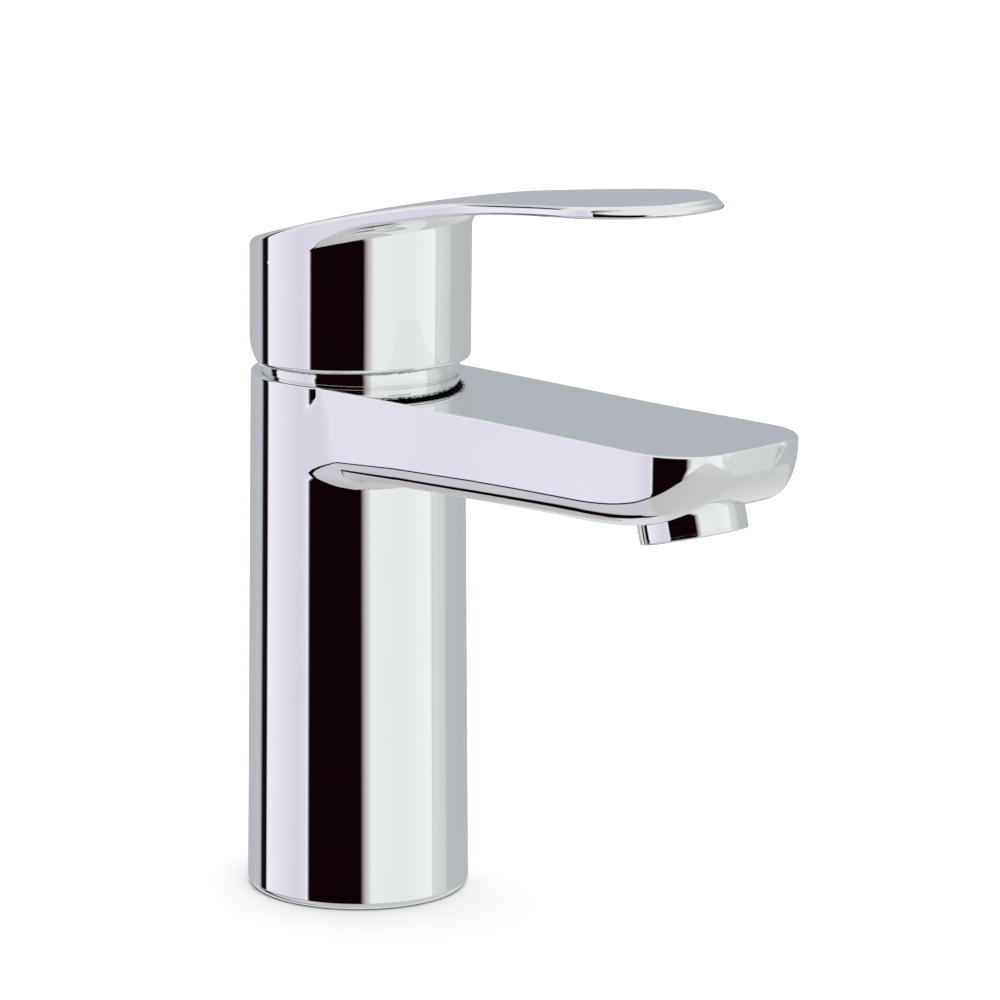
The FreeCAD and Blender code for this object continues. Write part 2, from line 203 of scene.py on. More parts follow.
def body_wall_field(p):
    """Column and spout without their top. The cove between them is COVE up to a height of 94,
    SIDE_COVE at 104 and TOP_COVE from 112."""
    low = np.clip((104 - p[:, 2]) / 10, 0, 1)
    high = np.clip((p[:, 2] - 105) / 7, 0, 1)
    cove = SIDE_COVE + (COVE - SIDE_COVE) * low**2 * (3 - 2 * low)
    cove = cove + (TOP_COVE - SIDE_COVE) * high**2 * (3 - 2 * high)
    return round_min(column_field(p), spout_field(p), cove)


def body_top(p):
    return (p[:, 2] - TOP_HEIGHT - TOP_FALL * p[:, 1]) / math.hypot(1, TOP_FALL)


def body_field(p):
    return round_max(body_wall_field(p), body_top(p), TOP_EDGE)


handle_top = bezier_table(TOP_POLES)
handle_under = bezier_table([(26, 132.0), (-12, 150.1), (-56, 157.9 - LEVER_THICKNESS),
                             (-98, 159.4 - LEVER_THICKNESS)])


def lever_width_table():
    """Half width of the lever: off the cap at a tangent, in to the waist, then out to the paddle."""
    side = np.array([SIDE_START, HANDLE_RADIUS * math.cos(LEVER_LEAN)])
    along = np.array([-math.cos(LEVER_LEAN), -math.sin(LEVER_LEAN)])
    near = bezier_table([side, side + along * 20, (-36, 13.9), WAIST])
    far = bezier_table(PADDLE_POLES)
    return lambda y: np.where(y > WAIST[0], near(y), far(y))


lever_width = lever_width_table()


def handle_bottom(y):
    """Height of the cap's lower edge, with the rear relief that its tilt needs."""
    start = HANDLE_BOTTOM - HANDLE_BOTTOM_RISE * RELIEF_START
    return np.maximum(HANDLE_BOTTOM - HANDLE_BOTTOM_RISE * y, start + RELIEF_SLOPE * (y - RELIEF_START))


def lip_inset(y, z):
    """How far the paddle's upper edge is stepped back from the lip below it."""
    low = handle_top(y) - LIP_DEPTH
    share = np.clip((-y - 77) / 13, 0, 1)
    step = 0.5 + 0.5 * np.tanh((z - low) / LIP_BLEND)
    return LIP_STEP * share**2 * (3 - 2 * share) * step


def handle_wall_field(p):
    x, y, z = p.T
    cap = np.hypot(x, y) - HANDLE_RADIUS
    side = (np.abs(x) - lever_width(y)) / np.sqrt(1 + slope_of(lever_width, y)**2)
    tip = (-y - LEVER_END + x**2 / TIP_BOW) / np.sqrt(1 + (x / (TIP_BOW / 2))**2)
    plan = np.where(y > SIDE_START, cap, round_max(side, tip, TIP_CORNER) + lip_inset(y, z))
    under = (handle_under(y) - z) / np.sqrt(1 + slope_of(handle_under, y)**2)
    bottom = (handle_bottom(y) - z) / np.sqrt(1 + slope_of(handle_bottom, y)**2)
    core = round_min(round_max(cap, bottom, FOOT_EDGE), under, LEVER_COVE)
    return round_max(plan, core, LEVER_EDGE * np.clip((-y - 9) / 10, 0, 1))


def roof(x, y):
    """Top face: the side profile with a slight crown over the cap, dying out along the lever."""
    share = np.clip((y + 62) / 34, 0, 1)
    return handle_top(y) + CROWN * share**2 * (3 - 2 * share) * (1 - np.minimum(x / 21, 1)**2)


def handle_top_field(p):
    x, y, z = p.T
    return (z - roof(x, y)) / np.sqrt(1 + slope_of(handle_top, y)**2)


def handle_field(p):
    return round_max(handle_wall_field(p), handle_top_field(p), HANDLE_EDGE)


def gradient(field, p, step=0.01):
    out = np.empty_like(p)
    for axis in range(3):
        move = np.zeros(3)
        move[axis] = step
        out[:, axis] = (field(p + move) - field(p - move)) / (2 * step)
    return out


def onto(field, p, rounds=8, most=1.5):
    """Points moved onto a field's zero surface."""
    p = p.copy()
    for _ in range(rounds):
        g = gradient(field, p)
        size = np.maximum((g**2).sum(1), 0.05)
        step = g * (field(p) / size)[:, None]
        length = np.linalg.norm(step, axis=1, keepdims=True)
        p -= step * np.minimum(1, most / np.maximum(length, 1e-9))
    return p


# ---- Mesh helpers ----

def new_object(name, verts, faces, body, material):
    mesh = bpy.data.meshes.new(name)
    mesh.from_pydata([tuple(v) for v in np.asarray(verts) * MM], [], [tuple(map(int, f)) for f in faces])
    mesh.validate()
    obj = bpy.data.objects.new(name, mesh)
    bpy.context.scene.collection.objects.link(obj)
    for poly in mesh.polygons:
        poly.use_smooth = True
    mesh.materials.append(material)
    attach(obj, body)
    return obj


def subdivided(verts, faces, levels, creases):
    """Catmull-Clark points and faces of a cage, with creases on some of its edges."""
    mesh = bpy.data.meshes.new("cage")
    mesh.from_pydata([tuple(v) for v in verts], [], faces)
    bm = bmesh.new()
    bm.from_mesh(mesh)
    bmesh.ops.recalc_face_normals(bm, faces=bm.faces[:])
    layer = bm.edges.layers.float.new("crease_edge")
    wanted = {frozenset(pair): value for pair, value in creases.items()}
    for edge in bm.edges:
        edge[layer] = wanted.get(frozenset(v.index for v in edge.verts), 0.0)
    bm.to_mesh(mesh)
    bm.free()
    cage = bpy.data.objects.new("cage", mesh)
    bpy.context.scene.collection.objects.link(cage)
    modifier = cage.modifiers.new("smooth", "SUBSURF")
    modifier.levels = levels
    modifier.subdivision_type = "CATMULL_CLARK"
    depsgraph = bpy.context.evaluated_depsgraph_get()
    result = cage.evaluated_get(depsgraph).to_mesh()
    points = np.empty(len(result.vertices) * 3)
    result.vertices.foreach_get("co", points)
    polys = [tuple(poly.vertices) for poly in result.polygons]
    cage.evaluated_get(depsgraph).to_mesh_clear()
    bpy.data.objects.remove(cage)
    bpy.data.meshes.remove(mesh)
    return points.reshape(-1, 3), polys


def boundary_loops(faces):
    """Loops of open edges, each in order, the way the open side runs."""
    used = {}
    for face in faces:
        for a, b in zip(face, face[1:] + face[:1]):
            used[(a, b)] = True
    follow = {b: a for a, b in used if (b, a) not in used}
    loops = []
    while follow:
        start = next(iter(follow))
        loop = [start]
        step = follow.pop(start)
        while step != start:
            loop.append(step)
            step = follow.pop(step)
        loops.append(loop)
    return loops


class Shell:
    """Growing mesh of points and faces."""

    def __init__(self, points, faces):
        self.points = [np.asarray(points, float)]
        self.count = len(points)
        self.faces = list(faces)

    def add(self, points):
        first = self.count
        self.points.append(np.asarray(points, float))
        self.count += len(points)
        return list(range(first, self.count))

    def array(self):
        return np.concatenate(self.points)

    def bridge(self, loop, other):
        for i in range(len(loop)):
            j = (i + 1) % len(loop)
            self.faces.append((loop[i], loop[j], other[j], other[i]))


def planar_fill(shell, outer, holes):
    """Triangles over a flat face with holes, between loops of point numbers."""
    points = shell.array()
    bm = bmesh.new()
    back = {}
    for loop in [outer] + holes:
        verts = [bm.verts.new(points[i]) for i in loop]
        for vert, i in zip(verts, loop):
            back[vert] = i
        for a, b in zip(verts, verts[1:] + verts[:1]):
            bm.edges.new((a, b))
    bmesh.ops.triangle_fill(bm, edges=bm.edges[:], use_beauty=True)
    for face in bm.faces:
        shell.faces.append(tuple(back[v] for v in face.verts))
    bm.free()


def finish_shell(shell, name, body, material, field, skin_faces, dull):
    """The skin is the first faces, with the field's own normals; the rest is dull with sharp edges."""
    obj = new_object(name, shell.array(), shell.faces, body, material)
    mesh = obj.data
    bm = bmesh.new()
    bm.from_mesh(mesh)
    bmesh.ops.recalc_face_normals(bm, faces=bm.faces[:])
    bm.to_mesh(mesh)
    bm.free()
    mesh.set_sharp_from_angle(angle=SHARP_ANGLE)
    normals = np.array([n.vector for n in mesh.corner_normals])
    true = gradient(field, shell.array())
    true /= np.linalg.norm(true, axis=1, keepdims=True)
    for poly in mesh.polygons:
        if poly.index < skin_faces:
            for corner in poly.loop_indices:
                normals[corner] = true[mesh.loops[corner].vertex_index]
    mesh.normals_split_custom_set([tuple(n) for n in normals])
    mesh.materials.append(dull)
    for poly in mesh.polygons:
        poly.material_index = int(poly.index >= skin_faces)
    return obj


def post_and_beam(angles, post_rows, corner_row, upper_rows, stations, levels, crease):
    """Cage of a round post with a beam out of its front, open at its foot and its top, then subdivided.

    angles: a list for the front, under the beam, and one for the back, in degrees from straight ahead.
    post_rows, upper_rows: functions from an angle to a point. corner_row: the row where the beam starts.
    stations: points across the beam's underside, and for each of them the points above it. The
    middle ones are used at the beam's end only.
    """
    front, back = angles
    around = [-a for a in reversed(front[1:])] + front
    rear = back + [180] + [-a for a in reversed(back)]
    ring = around + rear
    verts, faces, marks = [], [], {}

    def add(point):
        verts.append(tuple(point))
        return len(verts) - 1

    rows = [[add(row(a)) for a in ring] for row in post_rows + [corner_row]]
    for low, high in zip(rows, rows[1:]):
        for i in range(len(ring)):
            j = (i + 1) % len(ring)
            faces.append((low[i], low[j], high[j], high[i]))
    join = rows[-1]
    across = len(around)
    under = [join[:across]]
    rear_line = [join[across - 1]] + join[across:] + [join[0]]
    rear_angles = [around[-1]] + rear + [around[0]]
    walls = [rear_line] + [[add(row(a)) for a in rear_angles] for row in upper_rows]
    for low, high in zip(walls, walls[1:]):
        for i in range(len(low) - 1):
            faces.append((low[i], low[i + 1], high[i + 1], high[i]))
    left = [wall[-1] for wall in walls]
    right = [wall[0] for wall in walls]
    for index, (bottom, rises) in enumerate(stations):
        row = [add(p) for p in bottom]
        for i in range(across - 1):
            faces.append((under[-1][i], under[-1][i + 1], row[i + 1], row[i]))
        new_left = [row[0]] + [add(p) for p in rises[0]]
        new_right = [row[-1]] + [add(p) for p in rises[-1]]
        for old, new in ((left, new_left), (right, new_right)):
            for k in range(len(new) - 1):
                faces.append((old[k], new[k], new[k + 1], old[k + 1]))
            marks[(old[0], new[0])] = crease
        left, right = new_left, new_right
        under.append(row)
        if index == len(stations) - 1:
            columns = [left] + [[row[i]] + [add(p) for p in rises[i]] for i in range(1, across - 1)] + [right]
            for a, b in zip(columns, columns[1:]):
                marks[(a[0], b[0])] = crease
                for k in range(len(a) - 1):
                    faces.append((a[k], b[k], b[k + 1], a[k + 1]))
    return subdivided(verts, faces, levels, marks)


def circle_point(radius, angle, z, y=0.0):
    turn = math.radians(angle)
    return np.array([radius * math.sin(turn), y - radius * math.cos(turn), z])


def fillet_rows(shell, loop, wall, field, radius, rows):
    """Rows of a rounded top edge, from a wall's open loop inwards; returns the last row."""
    base = shell.array()[loop]
    out = gradient(wall, base)
    out[:, 2] = 0
    out /= np.linalg.norm(out, axis=1, keepdims=True)
    last = loop
    for k in range(1, rows + 1):
        turn = math.pi / 2 * k / rows
        points = base - out * radius * (1 - math.cos(turn))
        points[:, 2] += radius * math.sin(turn)
        points = onto(field, points, rounds=5, most=0.3)
        new = shell.add(points)
        shell.bridge(last, new)
        last = new
    return last


# ---- Shells ----

def body_shell(material, dull):
    edge = TOP_EDGE

    def top(y):
        return TOP_HEIGHT + TOP_FALL * y - edge

    def column_row(z):
        share = z / TOP_HEIGHT
        radius = FOOT_RADIUS + (COLUMN_TOP_RADIUS - FOOT_RADIUS) * share
        return lambda a: circle_point(radius, a, z, COLUMN_TOP_OFFSET * share)

    def corner_row(a):
        height = 99.5 if abs(a) > 60 else (94.5 if abs(a) > 40 else 93.0)
        return circle_point(23.0, a, height)

    def top_row(a):
        point = circle_point(COLUMN_TOP_RADIUS, a, 0, COLUMN_TOP_OFFSET)
        point[2] = top(point[1])
        return point

    front = [0, 22.5, 45, 67.5]
    back = [90, 112.5, 135, 157.5]
    shares = np.array([-1, -0.72, -0.36, 0, 0.36, 0.72, 1])
    stations = []
    for y in (-33, -46, -59, -72, -84, -94, 9 - NOSE_END):
        nose = y < -100
        wide = float(spout_width(y))
        bottom, rises = [], []
        for share in shares:
            side = abs(share) == 1
            ahead = 5.0 * (1 - abs(share)**3) if nose else 0.0
            low = float(spout_under(y)) + (5.5 if side else 0) + (1.5 if nose else 0)
            x = share * (wide - (1.0 if nose else 0))
            bottom.append((x, y - ahead + 1.5 * nose, low))
            rises.append([(x, y - ahead, 106.0), (x, y - ahead, top(y - ahead))])
        stations.append((bottom, rises))
    points, faces = post_and_beam(
        (front, back), [column_row(z) for z in (0, 2.5, 9, 34, 60, 83)], corner_row,
        [lambda a: circle_point(COLUMN_TOP_RADIUS, a, 106.0, COLUMN_TOP_OFFSET), top_row],
        stations, 4, 0.5)
    loops = sorted(boundary_loops(faces), key=lambda loop: points[loop][:, 2].mean())
    for _ in range(3):
        points = onto(body_wall_field, points)
        points[loops[0], 2] = 0.0
        points[loops[1], 2] = top(points[loops[1], 1])
    shell = Shell(points, faces)
    rim = fillet_rows(shell, loops[1], body_wall_field, body_field, edge, 6)
    inset = shell.array()[rim]
    inward = gradient(body_wall_field, inset)
    inward[:, 2] = 0
    flat = shell.add(inset - inward * RIM_INSET)
    shell.bridge(rim, flat)
    turns = np.radians(np.arange(0, 360, 3))
    hole = np.stack([RING_HOLE * np.cos(turns), RING_HOLE * np.sin(turns), 0 * turns], 1)
    hole[:, 2] = TOP_HEIGHT + TOP_FALL * hole[:, 1]
    mouth = shell.add(hole)
    planar_fill(shell, flat, [mouth])
    skin = len(shell.faces)
    pocket(shell, mouth, SOCKET)
    foot = pocket(shell, loops[0], FOOT_RECESS, close=False)
    ceiling = FOOT_RECESS[-1][1]
    holes = [blind_hole(shell, x, y, radius, ceiling, ceiling + deep) for x, y, radius, deep in FOOT_HOLES]
    planar_fill(shell, foot, holes)
    obj = finish_shell(shell, "body_shell", "base", material, body_field, skin, dull)
    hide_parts("body")
    return obj


def pocket(shell, loop, profile, close=True):
    """Round pocket grown from a loop through (radius, z) rings about the column's axis."""
    last = loop
    for radius, z in profile:
        base = shell.array()[loop]
        turn = np.arctan2(base[:, 1], base[:, 0])
        new = shell.add(np.stack([radius * np.cos(turn), radius * np.sin(turn), z + 0 * turn], 1))
        shell.bridge(last, new)
        last = new
    if close:
        shell.faces.append(tuple(last))
    return last


def blind_hole(shell, x, y, radius, low, high):
    turns = np.radians(np.arange(0, 360, 7.5))
    ring = np.stack([x + radius * np.cos(turns), y + radius * np.sin(turns), low + 0 * turns], 1)
    start = shell.add(ring)
    end = shell.add(ring + np.array([0, 0, high - low]))
    shell.bridge(start, end)
    shell.faces.append(tuple(end))
    return start


def handle_shell(material, dull):
    edge = HANDLE_EDGE
    inner = HANDLE_RADIUS - HANDLE_WALL
    rear_drop = 3.6

    def post_row(radius, above, share=0.0):
        def row(a):
            point = circle_point(radius, a, 0)
            low = float(handle_bottom(point[1]))
            point[2] = low + above + share * (142.0 - low)
            if share and abs(a) > 80:
                point[2] = min(point[2], float(handle_top(point[1])) - 4.5 - 6 * (1 - share))
            return point
        return row

    def corner_row(a):
        point = circle_point(HANDLE_RADIUS, a, 0)
        y = point[1]
        if y < 0:
            point[2] = float(handle_under(y)) + (0.3 if abs(a) > 70 else -1.0)
        else:
            point[2] = float(handle_top(y)) - rear_drop
        return point

    def top_row(a):
        point = circle_point(HANDLE_RADIUS, a, 0)
        point[2] = float(handle_top(point[1])) - edge
        return point

    front = [0, 25, 50, 75]
    back = [95, 116, 137, 159]
    shares = np.array([-1, -0.8, -0.4, 0, 0.4, 0.8, 1])
    stations = []
    for y in (-31, -38, -46, -54, -62, -70, -78, -85, 2.5 - LEVER_END):
        tip = y < -85
        wide = 16.2 if tip else float(lever_width(y)) - (0.4 if y == -85 else 0)
        bottom, rises = [], []
        for share in shares:
            ahead = 3.5 * (1 - abs(share)**3) if tip else 0.0
            x = share * wide
            bottom.append((x, y - ahead, float(handle_under(y - ahead))))
            rises.append([(x, y - ahead, float(handle_top(y - ahead)) - edge)])
        stations.append((bottom, rises))
    points, faces = post_and_beam(
        (front, back), [post_row(inner, 0), post_row(HANDLE_RADIUS, 0), post_row(HANDLE_RADIUS, 1.6),
                        post_row(HANDLE_RADIUS, 0, 0.4), post_row(HANDLE_RADIUS, 0, 0.8)], corner_row,
        [top_row], stations, 4, 0.6)
    loops = sorted(boundary_loops(faces), key=lambda loop: points[loop][:, 2].mean())
    for _ in range(4):
        points = onto(handle_wall_field, points)
        rim = points[loops[1]]
        points[loops[1], 2] = roof(rim[:, 0], rim[:, 1]) - edge
        ring = points[loops[0]]
        radius = np.hypot(ring[:, 0], ring[:, 1])
        ring[:, :2] *= (inner / radius)[:, None]
        ring[:, 2] = handle_bottom(ring[:, 1])
        points[loops[0]] = ring
    shell = Shell(points, faces)
    rim = fillet_rows(shell, loops[1], handle_wall_field, handle_field, edge, 6)
    ladder(shell, rim, 0.0)
    skin = len(shell.faces)
    base = shell.array()[loops[0]]
    ceiling = base.copy()
    ceiling[:, 2] = handle_top(ceiling[:, 1]) - HANDLE_ROOF
    inside = shell.add(ceiling)
    shell.bridge(loops[0], inside)
    ladder(shell, inside, HANDLE_ROOF)
    obj = finish_shell(shell, "handle_shell", "lever", material, handle_field, skin, dull)
    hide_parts("handle")
    return obj


def ladder(shell, loop, drop):
    """Roof over a loop that is symmetric about x = 0: rungs across it, a drop below the top face."""
    corners = shell.array()
    count = len(loop)
    start = int(np.argmin(corners[loop][:, 1]))
    order = [loop[(start + i) % count] for i in range(count)]
    half = count // 2
    share = np.linspace(0, 1, ROOF_PARTS + 1)[1:-1, None]
    rungs = []
    for i in range(1, half):
        a, b = corners[order[i]], corners[order[-i]]
        inner = a + (b - a) * share
        inner[:, 2] = roof(inner[:, 0], inner[:, 1]) - drop
        rungs.append([order[i]] + shell.add(inner) + [order[-i]])
    for row, after in zip(rungs, rungs[1:]):
        for k in range(ROOF_PARTS):
            shell.faces.append((row[k], row[k + 1], after[k + 1], after[k]))
    for row, point in ((rungs[0], order[0]), (rungs[-1], order[half])):
        for k in range(ROOF_PARTS):
            shell.faces.append((row[k], row[k + 1], point))


def lathe(name, profile, body, material, place, segments):
    """Closed ring from a closed outline of (radius, height) points, turned about an axis."""
    profile = np.array(profile, float)
    turns = np.linspace(0, 2 * math.pi, segments, endpoint=False)
    rows = [np.stack([r * np.cos(turns), r * np.sin(turns), z + 0 * turns], 1) for r, z in profile]
    points = place(np.concatenate(rows))
    faces = []
    count = len(profile)
    for k in range(count):
        for i in range(segments):
            j = (i + 1) % segments
            n = (k + 1) % count
            faces.append((k * segments + i, k * segments + j, n * segments + j, n * segments + i))
    obj = new_object(name, points, faces, body, material)
    mesh = obj.data
    bm = bmesh.new()
    bm.from_mesh(mesh)
    bmesh.ops.recalc_face_normals(bm, faces=bm.faces[:])
    bm.to_mesh(mesh)
    bm.free()
    mesh.set_sharp_from_angle(angle=SHARP_ANGLE)
    return obj


def bend(centre, radius, first, last, count):
    """Points of an arc, degrees from the +radius direction."""
    return [(centre[0] + radius * math.cos(math.radians(a)), centre[1] + radius * math.sin(math.radians(a)))
            for a in np.linspace(first, last, count)]


def ring_shell(material):
    wide = RING_RADIUS
    profile = [(17.3, -6), (18.85, -6), (18.85, 0.0), (wide - 0.45, 0.0), (wide - 0.45, 0.3)]
    profile += bend((wide - 0.1, 0.4), 0.1, -90, 0, 4) + [(wide, 0.44), (wide, 1.1)]
    profile += bend((wide - 1.5, 1.15), 1.5, 0, 16, 5)
    profile += [(wide - 0.4, 2.7), (wide - 0.66, 3.6)]
    profile += [(16.0, 3.7), (13.2, 3.7)] + bend((13.2, 3.1), 0.6, 90, 180, 5)
    profile += [(12.6, 1.5), (17.3, 1.5)]
    seat = np.array([0, 0, TOP_HEIGHT + RING_GAP])

    def place(points):
        points = points + seat
        points[:, 2] += TOP_FALL * points[:, 1]
        return points

    obj = lathe("ring_shell", profile, "base", material, place, 180)
    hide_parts("dome_ring")
    return obj


AERATOR_TILT = math.radians(14.5)
AERATOR_SEAT = np.array([0.0, -93.9, 95.9])


def on_aerator(points):
    """Points made about +Z below a seat at zero, moved onto the aerator's tipped axis."""
    out = np.array([0, -math.sin(AERATOR_TILT), -math.cos(AERATOR_TILT)])
    side = np.array([1.0, 0, 0])
    return AERATOR_SEAT + points[:, :1] * side + points[:, 1:2] * np.cross(out, side) + points[:, 2:3] * out


def aerator_shell(material):
    radius, drop, mouth = 11.1, 4.5, 7.8
    line = drop - 0.95
    profile = [(8.6, -6.5), (9.85, -6.5), (9.85, -2.6), (radius, -2.6), (radius, -2.5)]
    profile += [(radius, line - 0.1), (radius - 0.14, line - 0.04), (radius - 0.14, line + 0.04),
                (radius, line + 0.1)]
    profile += bend((radius - 0.5, drop - 0.5), 0.5, 0, 90, 8)
    profile += bend((mouth + 0.4, drop - 0.4), 0.4, 90, 180, 6)
    profile += [(mouth, drop - 1.2), (8.6, drop - 1.2)]
    obj = lathe("aerator_shell", profile, "base", material, on_aerator, 144)
    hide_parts("aerator_housing")
    return obj


# ---- Materials ----

ROUGHNESS_SPREAD = 0.25
DARKEST_TINT = 0.965


def node_material(name, color, metallic, roughness, grain, bump):
    """Procedural surface: noise varies the roughness, a finer noise gives the micro relief."""
    material = bpy.data.materials.new(name)
    material.use_nodes = True
    tree = material.node_tree
    shader = tree.nodes["Principled BSDF"]
    shader.inputs["Metallic"].default_value = metallic
    coords = tree.nodes.new("ShaderNodeTexCoord")
    broad = tree.nodes.new("ShaderNodeTexNoise")
    broad.inputs["Scale"].default_value = grain
    broad.inputs["Detail"].default_value = 4.0
    tree.links.new(coords.outputs["Object"], broad.inputs["Vector"])
    span = tree.nodes.new("ShaderNodeMapRange")
    span.inputs["To Min"].default_value = roughness * (1 - ROUGHNESS_SPREAD)
    span.inputs["To Max"].default_value = roughness * (1 + ROUGHNESS_SPREAD)
    tree.links.new(broad.outputs["Fac"], span.inputs["Value"])
    tree.links.new(span.outputs["Result"], shader.inputs["Roughness"])
    tint = tree.nodes.new("ShaderNodeMix")
    tint.data_type = "RGBA"
    tint.inputs["A"].default_value = (*[c * DARKEST_TINT for c in color], 1)
    tint.inputs["B"].default_value = (*color, 1)
    tree.links.new(broad.outputs["Fac"], tint.inputs["Factor"])
    tree.links.new(tint.outputs["Result"], shader.inputs["Base Color"])
    fine = tree.nodes.new("ShaderNodeTexNoise")
    fine.inputs["Scale"].default_value = grain * 12
    fine.inputs["Detail"].default_value = 3.0
    tree.links.new(coords.outputs["Object"], fine.inputs["Vector"])
    relief = tree.nodes.new("ShaderNodeBump")
    relief.inputs["Strength"].default_value = bump
    relief.inputs["Distance"].default_value = 0.0002
    tree.links.new(fine.outputs["Fac"], relief.inputs["Height"])
    tree.links.new(relief.outputs["Normal"], shader.inputs["Normal"])
    return material


CHROME = (0.93, 0.93, 0.935)
LOOKS = {
    "polished_chrome": (CHROME, 1.0, 0.022, 90.0, 0.004),
    "handle_chrome": (CHROME, 1.0, 0.020, 90.0, 0.004),
    "ring_chrome": (CHROME, 1.0, 0.025, 120.0, 0.006),
    "aerator_chrome": (CHROME, 1.0, 0.035, 150.0, 0.010),
    "black_rubber": ((0.025, 0.025, 0.027), 0.0, 0.62, 500.0, 0.25),
    "grey_plastic": ((0.45, 0.46, 0.48), 0.0, 0.38, 350.0, 0.08),
    "white_plastic": ((0.80, 0.80, 0.78), 0.0, 0.36, 350.0, 0.08),
    "blue_plastic": ((0.06, 0.15, 0.42), 0.0, 0.36, 350.0, 0.08),
    "red_plastic": ((0.58, 0.03, 0.025), 0.0, 0.36, 350.0, 0.08),
    "green_plastic": ((0.06, 0.32, 0.14), 0.0, 0.36, 350.0, 0.08),
    "insert_plastic": ((0.78, 0.80, 0.82), 0.0, 0.30, 350.0, 0.06),
    "plug_plastic": ((0.62, 0.63, 0.65), 0.6, 0.22, 350.0, 0.04),
    "ceramic": ((0.88, 0.87, 0.83), 0.0, 0.18, 700.0, 0.02),
    "brass": ((0.78, 0.60, 0.27), 1.0, 0.28, 400.0, 0.10),
    "stainless_steel": ((0.62, 0.62, 0.63), 1.0, 0.24, 600.0, 0.08),
    "hot_red": ((0.70, 0.015, 0.012), 0.0, 0.20, 500.0, 0.02),
    "cold_blue": ((0.01, 0.07, 0.55), 0.0, 0.20, 500.0, 0.02),
    "bare_casting": ((0.09, 0.085, 0.08), 0.7, 0.62, 600.0, 0.20),
}
materials = {slot: node_material(slot, *look) for slot, look in LOOKS.items()}
slot_of = {part["node"]: part["material_slot"] for part in frame["record"]["subparts"]}
for node, obj in NODES.items():
    obj.data.materials.clear()
    obj.data.materials.append(materials[slot_of[node]])

body_shell(materials["polished_chrome"], materials["bare_casting"])
handle_shell(materials["handle_chrome"], materials["bare_casting"])
ring_shell(materials["ring_chrome"])
aerator_shell(materials["aerator_chrome"])


# ---- Studio ----

VIEW_TURN = math.radians(-45.07)
VIEW_YAW = math.radians(-1.724)
VIEW_PITCH = math.radians(12.078)
VIEW_ROLL = math.radians(0.603)
VIEW_DISTANCE = 1.0
VIEW_HEIGHT = 0.2986
VIEW_LENS = 171.55
FLOOR_HALF = 6.0
FLOOR_GAP = 0.0002


def camera():
    data = bpy.data.cameras.new("camera")
    data.lens = VIEW_LENS
    data.sensor_width = 36.0
    data.clip_start = 0.01
    obj = bpy.data.objects.new("camera", data)
    bpy.context.scene.collection.objects.link(obj)
    turn = VIEW_TURN + VIEW_YAW
    ahead = Vector((-math.sin(turn) * math.cos(VIEW_PITCH), math.cos(turn) * math.cos(VIEW_PITCH),
                    -math.sin(VIEW_PITCH)))
    right = Vector((math.cos(turn), math.sin(turn), 0))
    up = right.cross(ahead)
    level_right = math.cos(VIEW_ROLL) * right + math.sin(VIEW_ROLL) * up
    level_up = -math.sin(VIEW_ROLL) * right + math.cos(VIEW_ROLL) * up
    place = Matrix((level_right, level_up, -ahead)).transposed().to_4x4()
    place.translation = Vector((math.sin(VIEW_TURN), -math.cos(VIEW_TURN), 0)) * VIEW_DISTANCE
    place.translation.z = VIEW_HEIGHT
    obj.matrix_world = place
    bpy.context.scene.camera = obj


def floor():
    mesh = bpy.data.meshes.new("floor")
    half = FLOOR_HALF
    corners = [(-half, -half, 0), (half, -half, 0), (half, half, 0), (-half, half, 0)]
    mesh.from_pydata(corners, [], [(0, 1, 2, 3)])
    obj = bpy.data.objects.new("floor", mesh)
    bpy.context.scene.collection.objects.link(obj)
    obj.location.z = -FLOOR_GAP
    material = node_material("floor_white", (0.92, 0.92, 0.92), 0.0, 0.9, 3.0, 0.0)
    mesh.materials.append(material)
    obj.visible_glossy = False


def world_math(tree, operation, *values):
    node = tree.nodes.new("ShaderNodeMath")
    node.operation = operation
    for index, value in enumerate(values):
        if isinstance(value, (int, float)):
            node.inputs[index].default_value = value
        else:
            tree.links.new(value, node.inputs[index])
    return node.outputs[0]


def srgb(*levels):
    """Linear colour of 0-255 display levels."""
    return tuple(((v / 255 + 0.055) / 1.055)**2.4 if v > 10 else v / 255 / 12.92 for v in levels)


BLACK = (16, 2, 6)
# Panels round the object: degrees from the camera's side, positive to its right, and display colours.
AROUND = [
    (-180, (178, 184, 190)), (-150, (186, 188, 194)), (-126, (196, 195, 204)), (-123, (150, 150, 156)),
    (-121, (24, 22, 26)), (-112, BLACK), (-110.5, (248, 246, 253)), (-100, (240, 238, 250)),
    (-84, (232, 229, 242)), (-66, (222, 219, 232)), (-57, (228, 225, 238)), (-54.5, (250, 250, 252)),
    (-53, BLACK), (3, BLACK), (4.5, (120, 110, 105)), (7, (185, 178, 172)), (10, (205, 207, 203)),
    (14, (240, 245, 243)), (50, (236, 241, 240)), (80, (246, 249, 248)), (83.5, (243, 247, 246)),
    (85, (205, 210, 208)), (87, (222, 227, 225)), (104, (208, 214, 211)), (108, (190, 196, 196)),
    (140, (186, 190, 194)), (164, (184, 188, 193)), (180, (178, 184, 190)),
]
# The same for the table, below the panels.
TABLE = [
    (-180, (226, 228, 228)), (-138, (222, 224, 226)), (-135, BLACK), (-114, BLACK), (-112, (206, 204, 213)),
    (-60, (210, 208, 216)), (-40, (196, 196, 194)), (60, (204, 206, 203)), (110, (206, 209, 207)),
    (180, (226, 228, 228)),
]
# The strip between the table and the panels.
TABLE_EDGE = [
    (-180, (200, 204, 206)), (-112, (200, 204, 206)), (-110, BLACK), (-56, BLACK), (3, BLACK),
    (10, (180, 182, 180)), (40, (214, 217, 215)), (180, (200, 204, 206)),
]
